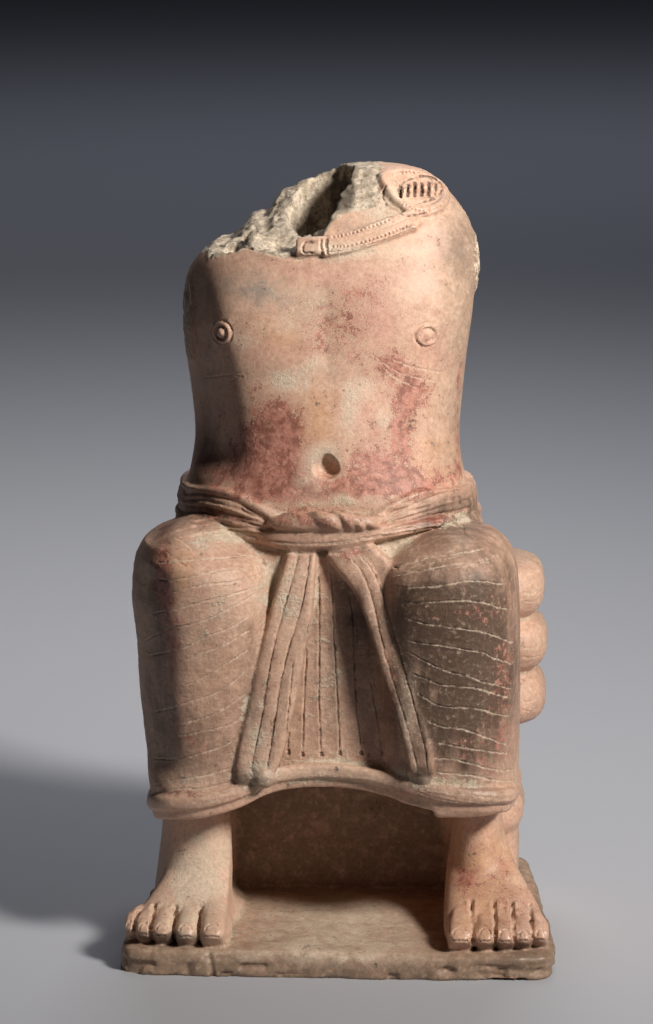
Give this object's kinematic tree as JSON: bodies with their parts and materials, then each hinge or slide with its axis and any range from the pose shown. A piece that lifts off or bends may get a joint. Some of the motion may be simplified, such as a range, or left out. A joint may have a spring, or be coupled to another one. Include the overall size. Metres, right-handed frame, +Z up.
{
  "type": "seated yaksha statue",
  "caption": "Headless, armless seated terracotta figure in a knotted sash and long draped cloth, modelled in one with its ringed stool and slab base.",
  "frame": {"origin": "middle of the base slab's flat underside", "axes": "+Z up, -Y the way the figure faces, +X towards the viewer's right"},
  "size_m": [0.2365, 0.19, 0.427],
  "materials": {
    "terracotta": "unglazed fired clay, buff orange, with worn red slip and pale burial crust"
  },
  "bodies": {
    "root": {"seated_figure": "terracotta"}
  },
  "joints": []
}
